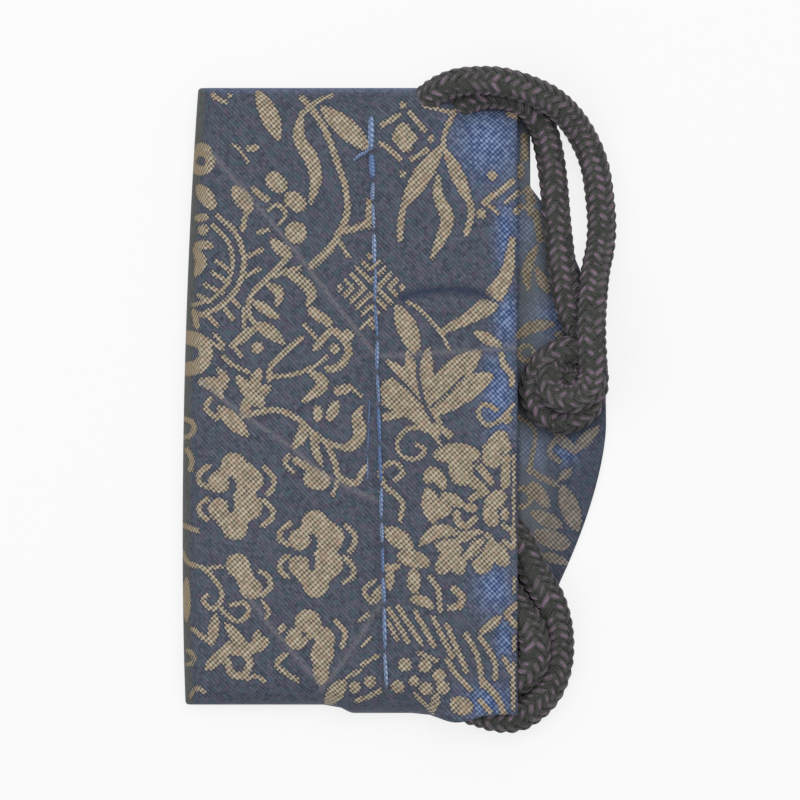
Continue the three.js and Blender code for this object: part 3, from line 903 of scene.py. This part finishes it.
PEONY = [
    stem(3, (93.5, 25, 93.5, 106), (94, 148, 94, 162), (94, 206, 94, 220)), stem(4, (93, 234, 93, 278)),
    stem(5, (83, 96, 91, 100, 94, 110, 92, 117, 84, 111)), stem(6, (51, 68, 66, 61)),
    stem(7, (37, 83, 38, 92, 45, 96, 54, 89), (58, 35, 71, 52)), stem(9, (86, 29, 85, 54)),
    leaf(10, (46, 129, 55, 116, 63, 109)), leaf(11, (43, 44, 67, 61)), leaf(12, (22, 64, 43, 75)),
    leaf(13, (13, 39, 24, 57), (0, 114, 17, 101, 36, 101), (68, 103, 69, 126)),
    leaf(14, (16, 116, 35, 107, 62, 102)), leaf(19, (8, 60, 14, 91), (71, 21, 84, 4)),
    leaf(20, (15, 25, 38, 23, 59, 25)), bean(8, (85, 78, 84, 90)), bean(9, (45, 77, 56, 78)),
    bean(11, (13, 38, 6, 52), (19, 116, 30, 120)), bean(13, (79, 15, 88, 18)), bean(15, (68, 78, 73, 93)),
    bean(17, (82, 64, 68, 77), (29, 126, 20, 140), (73, 116, 85, 132)), bean(18, (35, 116, 39, 141)),
    bean(19, (68, 18, 74, 33)), bean(20, (14, 78, 26, 78)), bean(21, (67, 122, 60, 138)),
    bean(24, (39, 26, 42, 50)),
]
PEONY_GAPS = [
    stem(3, (41, 126, 47, 114, 62, 104), (50, 131, 59, 123, 67, 109), (4, 117, 18, 110, 38, 106),
        (36, 100, 50, 99, 62, 95), (60, 12, 61, 25, 58, 34)),
]

LOWER_RIGHT = [
    stem(4, (55, 60, 44, 70, 51, 83), (99, 132, 117, 140), (42, 144, 58, 135), (27, 157, 40, 150),
        (43, 125, 50, 117), (40, 100, 49, 93), (95, 173, 113, 193)),
    stem(5, (110, 57, 118, 69, 120, 90), (127, 140, 136, 153, 150, 168), (37, 180, 47, 177, 60, 170),
        (160, 180, 170, 192), (184, 138, 191, 152)),
    stem(6, (65, 47, 78, 46), (196, 85, 187, 93, 196, 105), (162, 160, 177, 177, 183, 192)),
    stem(6.5, (133, 68, 142, 76, 140, 85, 130, 87)), leaf(9, (71, 47, 69, 70), (160, 113, 181, 96)),
    leaf(10, (61, 65, 54, 82)), leaf(11, (90, 79, 102, 80, 113, 87)), leaf(16, (24, 161, 7, 184)),
    leaf(18, (66, 9, 91, 27)), bean(9, (117, 173, 113, 190)), bean(13, (94, 50, 94, 71)),
    bean(17, (80, 35, 107, 42)), bean(18, (134, 182, 148, 188)), dot(5, (94, 160)),
    dot(6, (50, 161), (35, 167)),
    dot(6.6, (85, 144), (105, 145), (119, 155), (78, 166), (106, 168), (123, 167)),
]
FAN = [
    stem(4, (8, 21, 17, 38)),
    stem(5, (9, 8, 28, 41), (18, 6, 41, 43), (35, 11, 54, 45), (53, 17, 72, 56), (67, 25, 86, 70),
        (86, 34, 97, 55, 102, 85), (100, 37, 114, 60, 115, 78)),
]

FLAP = [
    stem(4, (10, 287, 25, 300, 20, 340)), stem(5, (46, 310, 40, 322, 50, 332)),
    stem(6, (11, 35, 11, 44), (20, 341, 46, 355)),
    stem(7, (15, 5, 15, 27), (20, 58, 21, 82), (26, 82, 31, 108)), leaf(8, (50, 350, 62, 339)),
    leaf(10, (27, 115, 17, 142, 19, 160), (27, 138, 39, 162), (32, 425, 59, 434)),
    leaf(11, (46, 304, 66, 322)), leaf(12, (6, 208, 20, 198, 45, 193), (64, 323, 89, 297)),
    leaf(14, (21, 353, 39, 377), (23, 383, 52, 397)), leaf(19, (53, 357, 68, 400)),
    bean(18, (27, 404, 58, 416)), dot(4, (49, 204)), arc(4, (16, 69), 8, -100, 130),
    arc(4, (17, 223), 8, 0, 360), arc(5, (11, 368), 10, -90, 90),
]

PATTERN = [
    *placed(UPPER_LEFT, (190, 90)), *placed(SUNBURST, (190, 262)), *placed(MIDDLE_LEFT, (180, 240)),
    *placed(LOWER_LEFT, (180, 520)), *placed(UPPER_RIGHT, (380, 100)), *placed(LARGE_LEAF, (380, 340)),
    *placed(SCROLLS, (380, 350)), *placed(PEONY, (420, 430)), *placed(LOWER_RIGHT, (320, 520)),
    *placed(FAN, (380, 600)), *placed(FLAP, (510, 130)), *placed(LOW_BLOSSOM, (270, 620)),
    *placed(chevron_lozenge(34, 12, 4), (371, 288)),
]
PATTERN_CUTS = [
    *placed(LARGE_LEAF_VEINS, (380, 340)), *placed(PEONY_GAPS, (420, 430)),
    *placed(LOW_BLOSSOM_GAPS, (270, 620)), *stem(3, (484, 297, 500, 303)),
]
for blossom in ((236, 497), (317, 554)):
    PATTERN += placed(BLOSSOM, blossom)
    PATTERN_CUTS += placed(BLOSSOM_GAPS, blossom)


def swept(places, profile, width, points):
    """Distance of each place to one woven shape, below 0 inside it; far places are left at infinity."""
    line = from_draft(points)
    if len(line) > 2:
        line = smooth_line(line, LINE_STEP)
    else:
        steps = max(2, round(np.linalg.norm(line[1] - line[0]) / LINE_STEP) + 1)
        line = line[0] + (line[1] - line[0]) * np.linspace(0, 1, steps)[:, None]
    halves = width / 2 / SQUARES_PER_MM * PROFILES[profile](np.linspace(0, 1, len(line)))
    reach = PATTERN_REACH + halves.max()
    near = np.all((places > line.min(axis=0) - reach) & (places < line.max(axis=0) + reach), axis=1)
    found = np.full(len(places), np.inf)
    found[near] = line_gap(places[near], line, halves)
    return found


def woven(places):
    """Distance in millimetres to the edge of the pattern, below 0 where the gold weft shows."""
    field = np.full(len(places), PATTERN_REACH)
    for drawn in PATTERN:
        field = np.minimum(field, swept(places, *drawn))
    for drawn in PATTERN_CUTS:
        field = np.maximum(field, -swept(places, *drawn))
    return field


# The brocade: a navy twill ground with a beige-gold weft bound in dots on a slanted lattice
LATTICE_ACROSS = (0.937, -0.984)
LATTICE_ALONG = (-1.265, -1.172)
NAVY_LOOKS = srgb(41, 46, 58), srgb(93, 99, 113)
# Painted sheen: vivid blue silk colours laid where the warp would catch the light
SHEEN_LOOKS = srgb(28, 62, 116), srgb(146, 166, 206)
GOLD_LOOKS = srgb(60, 50, 44), srgb(199, 186, 162)
WEAVE_DEPTH = 0.06
# Painted sheen along the top edge
TOP_PAINTED_SHEEN = 0.45
TOP_PAINTED_SHEEN_WIDTH = 1.5
# Painted shade: on the flap, deeper towards its lower end, along the rolled fold and in the dent
FLAP_SHADE = 0.36
DIM_FROM, DIM_TO = 34, 4
FOLD_SHADE = 0.13
FOLD_SHADE_WIDTH = 4
DENT_SHADE_WIDTH = 0.63
WORN_WIDTH = 3.4
# Middle and size of each patch of painted sheen, on the draft
SHEEN_PATCHES = (
    ((487, 141), (34, 40)), ((505, 235), (10, 36)), ((506, 318), (12, 28)), ((498, 395), (16, 42)),
    ((494, 588), (18, 24)), ((504, 640), (9, 20)), ((488, 702), (24, 18)), ((527, 225), (14, 34)),
    ((548, 318), (20, 20)), ((533, 450), (13, 24)), ((566, 452), (13, 13)),
)


def brocade_finish():
    finish = Finish("brocade")
    motif, crease, painted_sheen, shade, painted_light, worn, lining = (
        finish.attribute(name) for name in ("motif", "crease", "painted_sheen", "shade", "painted_light", "worn", "lining")
    )
    place = finish.attribute("weave", "Vector")
    u, v, _ = finish.parts(place)
    across = u * LATTICE_ACROSS[0] + v * LATTICE_ACROSS[1]
    along = u * LATTICE_ALONG[0] + v * LATTICE_ALONG[1]
    cell = finish.vector((across + 0.5).whole(), (along + 0.5).whole(), lining)
    lot, warmth, tint = finish.chances(cell)
    cloud = finish.noise(place, 0.16, 3)
    hue = finish.noise(place, 0.75, 1)
    speck = finish.noise(place, 2.2)
    dots = across.wave() + along.wave()
    twill = along.wave()
    gold = (motif - dots * 0.1 + (lot - 0.5) * 0.2).step(0.08, -0.08)
    gold = gold - gold * lining
    # Painted shade thins the gold
    gold = gold - gold * shade * 0.5
    ground = finish.blend((twill * 0.2 + lot * 0.45 + speck).step(0.2, 1.3), *NAVY_LOOKS)
    ground = finish.layers(
        ground, (hue.step(0.52, 0.7) * 0.5, (90, 76, 98)), (hue.step(0.48, 0.3) * 0.5, (58, 86, 96)),
        (tint.step(0.6, 1) * 0.35, (104, 92, 112)), (warmth.step(0.65, 1) * 0.3, (70, 94, 98)),
    )
    # Painted sheen: vivid blue silk laid over the ground in the patches of sheen
    sheen_colour = finish.blend((dots * 0.3 + lot * 0.6 + speck * 0.5).step(0.1, 1.2), *SHEEN_LOOKS)
    ground = finish.blend(painted_sheen * 0.8, ground, sheen_colour)
    # Painted shadow round the raised gold shapes, painted light on the strip beyond the mouth, then the
    # warmer ground of the rubbed fold
    ground = finish.layers(
        ground, (motif.step(0.5, 0.06) * 0.4, (36, 34, 50)), (painted_light * 0.34, (150, 158, 164)),
        (worn.step(0.5, 1) * 0.42, (96, 94, 58)),
    )
    weft = finish.blend((dots * 0.36 + lot * 0.5).step(-0.55, 1), *GOLD_LOOKS)
    # The weft's own warm and green tints and the rubbed fold, then painted shade greying it
    weft = finish.layers(
        weft, (warmth.step(0.5, 1) * 0.4, (176, 140, 118)), (tint.step(0.55, 1) * 0.35, (134, 134, 102)),
        (worn * 0.7, (156, 134, 98)), (shade * 0.5, (112, 108, 112)),
    )
    # Real wear on the creases, then painted shade over all
    colour = finish.layers(
        finish.blend(gold, ground, weft),
        (crease * speck.step(0.25, 0.55) * 0.55, (128, 122, 126)), (shade * 0.8, (30, 44, 68)),
    )
    height = dots * 0.3 * gold + twill * 0.25 + gold * 0.5
    finish.paint(colour, gold * -0.1 + cloud * 0.2 + 0.6, height, WEAVE_DEPTH)
    finish.fibres(0.25, 0.1, 0.45, srgb(190, 200, 230))
    return finish.material


def painted_sheen_at(places):
    """Painted sheen: where the taut warp would catch the light, near the mouth, on the flap and along the
    top.
    """
    found = TOP_PAINTED_SHEEN * smoothstep(TOP_Y - places[:, 1], TOP_PAINTED_SHEEN_WIDTH, 0.3)
    for middle, size in SHEEN_PATCHES:
        gap = (places - from_draft(middle)) * SQUARES_PER_MM / np.array(size)
        found = np.maximum(found, np.exp(-np.sum(gap**2, axis=1)))
    return found


def shade_at(x, y, station):
    """Painted shade along the rolled fold and in the dent, and on the flap, deeper towards its lower end."""
    on_flap = smoothstep(x, MOUTH_X + 0.5, MOUTH_X + 7) * smoothstep(y, DIM_FROM, DIM_TO) * (station > 2)
    near_fold = smoothstep(x, left_x(y) + FOLD_SHADE_WIDTH, left_x(y)) * (station < 2)
    in_dent = ridge(x, y, DENT, DENT_SHADE_WIDTH) * (station < 1)
    return np.clip(FLAP_SHADE * on_flap + FOLD_SHADE * near_fold + in_dent, 0, 1)


def painted_light_at(x, station):
    """Painted light on the strip beyond the mouth, lifting it where the front's edge and the cord shade it.
    """
    return smoothstep(x - MOUTH_X, 0, 1) * smoothstep(x - MOUTH_X, 8, 3) * (station > 2)


def worn_at(x, y, station):
    """Where the fold is rubbed: its gold smooth and its ground warmer."""
    return smoothstep(x - left_x(y), WORN_WIDTH, 0.4) * (station < 2)


def add_cloth():
    width = MOUTH_X - LEFT_X
    length = TOP_Y - BOTTOM_Y
    round_fold = np.linspace(1, 2, FOLD_COLUMNS + 1)[1:]
    outer = np.concatenate([
        spaced(0, 1, width, GRAIN, "start"), round_fold, spaced(2, 3, width, BACK_GRAIN, "end")[1:],
    ])
    inner = np.concatenate([
        spaced(0, 1, width, LINING_GRAIN, "start"), round_fold,
        spaced(2, FLAP_STATION, width * (FLAP_STATION - 2), LINING_GRAIN)[1:],
        spaced(FLAP_STATION, 3, width * FLAP_SHARE, GRAIN, "end")[1:],
    ])
    shares = both_edges(length, GRAIN)
    rows = len(shares)
    points_out, flat_out, station_out = sheet_points(outer, shares, 1)
    points_in, flat_in, station_in = sheet_points(inner, shares, -1)
    start = len(points_out)
    faces = grid_faces(len(outer), rows, 0) + grid_faces(len(inner), rows, start)
    for column_out, column_in in ((0, 0), (len(outer) - 1, len(inner) - 1)):
        for row in range(rows - 1):
            low = row * len(outer) + column_out
            inside = start + row * len(inner) + column_in
            faces.append((low, low + len(outer), inside + len(inner), inside))
    for row in (0, rows - 1):
        first = [row * len(outer) + c for c in range(len(outer))]
        second = [start + row * len(inner) + c for c in range(len(inner))]
        faces += zip_faces(first, outer, second, inner)
    points = np.vstack([points_out, points_in])
    flat = np.vstack([flat_out, flat_in])
    station = np.concatenate([station_out, station_in])
    x, y = points[:, 0], points[:, 1]
    is_outer = np.arange(len(points)) < start
    turned = np.column_stack([x, BOTTOM_Y + (y - BOTTOM_Y + BACK_SHIFT * length) % length])
    places = np.where((is_outer & (station > BACK_STATION))[:, None], turned, points[:, :2])
    on_front = is_outer & (station < FOLD_STATION)
    on_flap = ~is_outer & (x > MOUTH_X) & (station > 2)
    attributes = {
        "motif": woven(places),
        "crease": np.clip(creasing(x, y, WORN_CREASE), 0, 1) * on_front,
        # Painted sheen near the mouth, on the flap and along the top
        "painted_sheen": painted_sheen_at(points[:, :2]) * (on_front | on_flap),
        # Painted shade of the fold, the dent and the flap
        "shade": shade_at(x, y, station),
        # Painted light on the strip beyond the mouth
        "painted_light": painted_light_at(x, station) * ~is_outer,
        "worn": worn_at(x, y, station),
        "lining": (~is_outer & (x < MOUTH_X - LINING_INSET)).astype(float),
        "weave": np.column_stack([flat, np.zeros(len(flat))]),
    }
    return add_piece("brocade_sheet", points, faces, brocade_finish(), "pouch_cloth", attributes)


# The hand-sewn seam
STITCH_WIDTH = 0.75
STITCH_LENGTHS = (3.2, 7.6)
STITCH_GAPS = (0.4, 0.9)
STITCH_SIDES = 8
SEAM_ENDS = 5.4
KNOTTED_ROWS = (124, 154, 652, 684)
KNOTTED_REACH = 2.4
KNOTTED_THICKNESS = 1.6
PLAIN_THICKNESS = (0.8, 1.15)
STITCH_LEAN = 0.3
STITCH_POINTS = 13
STITCH_ARCH = 0.34
STITCH_SINK = 0.06
STITCH_TURNS = 4
THREAD_STEP = 0.5
SECOND_LIFT, SECOND_WIDTH = 0.06, 0.32
TAIL_LIFT, TAIL_WIDTH = 0.35, 0.66
SECOND_RUNS = (((370, 400), (369, 424)), ((369, 428), (368, 452)), ((368, 456), (368, 480)))
LOOSE_TAIL = ((370, 148), (366, 153), (360, 156), (353, 162))


def thread_finish():
    finish = Finish("thread")
    strand = finish.attribute("strand", "Vector")
    along, around, number = finish.parts(strand)
    ply = (along * 1.6 + around * 2).wave()
    lot, _, _ = finish.chances(finish.vector(number, number, number))
    colour = finish.blend(lot, srgb(122, 152, 202), srgb(188, 206, 232))
    # Painted shade in the grooves of the ply's twist
    colour = finish.blend(ply.step(-1, 0.2), srgb(78, 104, 158), colour)
    finish.paint(colour, lot * 0.1 + 0.5, ply, 0.1)
    finish.fibres(0.35, 0.3, 0.4, srgb(210, 220, 245))
    return finish.material


def thread_run(line, width, number):
    """Points, faces and shading attribute of a tapered round thread along a line."""
    normal = carried_normals(line, (0, 0, 1))
    binormal = np.cross(directions(line), normal)
    share = np.linspace(0, 1, len(line))
    radius = width / 2 * (0.25 + 0.75 * np.sin(math.pi * (0.06 + 0.88 * share)) ** 0.5)
    points, strands = [], []
    for k in range(STITCH_SIDES):
        angle = 2 * math.pi * k / STITCH_SIDES
        points.append(line + (normal * math.cos(angle) + binormal * math.sin(angle)) * radius[:, None])
        around, which = (np.full(len(line), value) for value in (k / STITCH_SIDES, number))
        strands.append(np.column_stack([share * STITCH_TURNS, around, which]))
    points, strands = (np.array(made).transpose(1, 0, 2).reshape(-1, 3) for made in (points, strands))
    return points, tube_faces(len(line), STITCH_SIDES, 0), {"strand": strands}


def add_stitches():
    runs = []
    y = TOP_Y - SEAM_ENDS
    knotted = from_draft([(0, row) for row in KNOTTED_ROWS])[:, 1]
    while y > BOTTOM_Y + SEAM_ENDS + STITCH_LENGTHS[0] / 2:
        length = min(RANDOM.uniform(*STITCH_LENGTHS), y - BOTTOM_Y - SEAM_ENDS)
        lean = RANDOM.uniform(-STITCH_LEAN, STITCH_LEAN)
        share = np.linspace(-0.5, 0.5, STITCH_POINTS)
        ys = y - length / 2 + length * share
        xs = seam_x(ys) + lean * share
        is_knotted = np.abs(knotted - y + length / 2).min() < KNOTTED_REACH
        thick = KNOTTED_THICKNESS if is_knotted else RANDOM.uniform(*PLAIN_THICKNESS)
        runs.append((xs, ys, STITCH_ARCH * np.cos(math.pi * share) - STITCH_SINK, STITCH_WIDTH * thick))
        y -= length + RANDOM.uniform(*STITCH_GAPS)
    loose = [(run, SECOND_LIFT, SECOND_WIDTH) for run in SECOND_RUNS]
    for run, lift, width in (*loose, (LOOSE_TAIL, TAIL_LIFT, TAIL_WIDTH)):
        xs, ys = smooth_line(from_draft(run), THREAD_STEP).T
        runs.append((xs, ys, lift, width))
    threads = []
    for number, (xs, ys, lift, width) in enumerate(runs):
        line = np.column_stack([xs, ys, front_surface(xs, ys) + lift])
        threads.append(thread_run(line, width, number))
    points, faces, attributes = joined(threads)
    add_piece("seam_stitches", points, faces, thread_finish(), "seam_thread", attributes)


bpy.context.scene.view_settings.view_transform = "Standard"
add_camera()
add_stage()
add_cords()
cloth = add_cloth()
add_stitches()
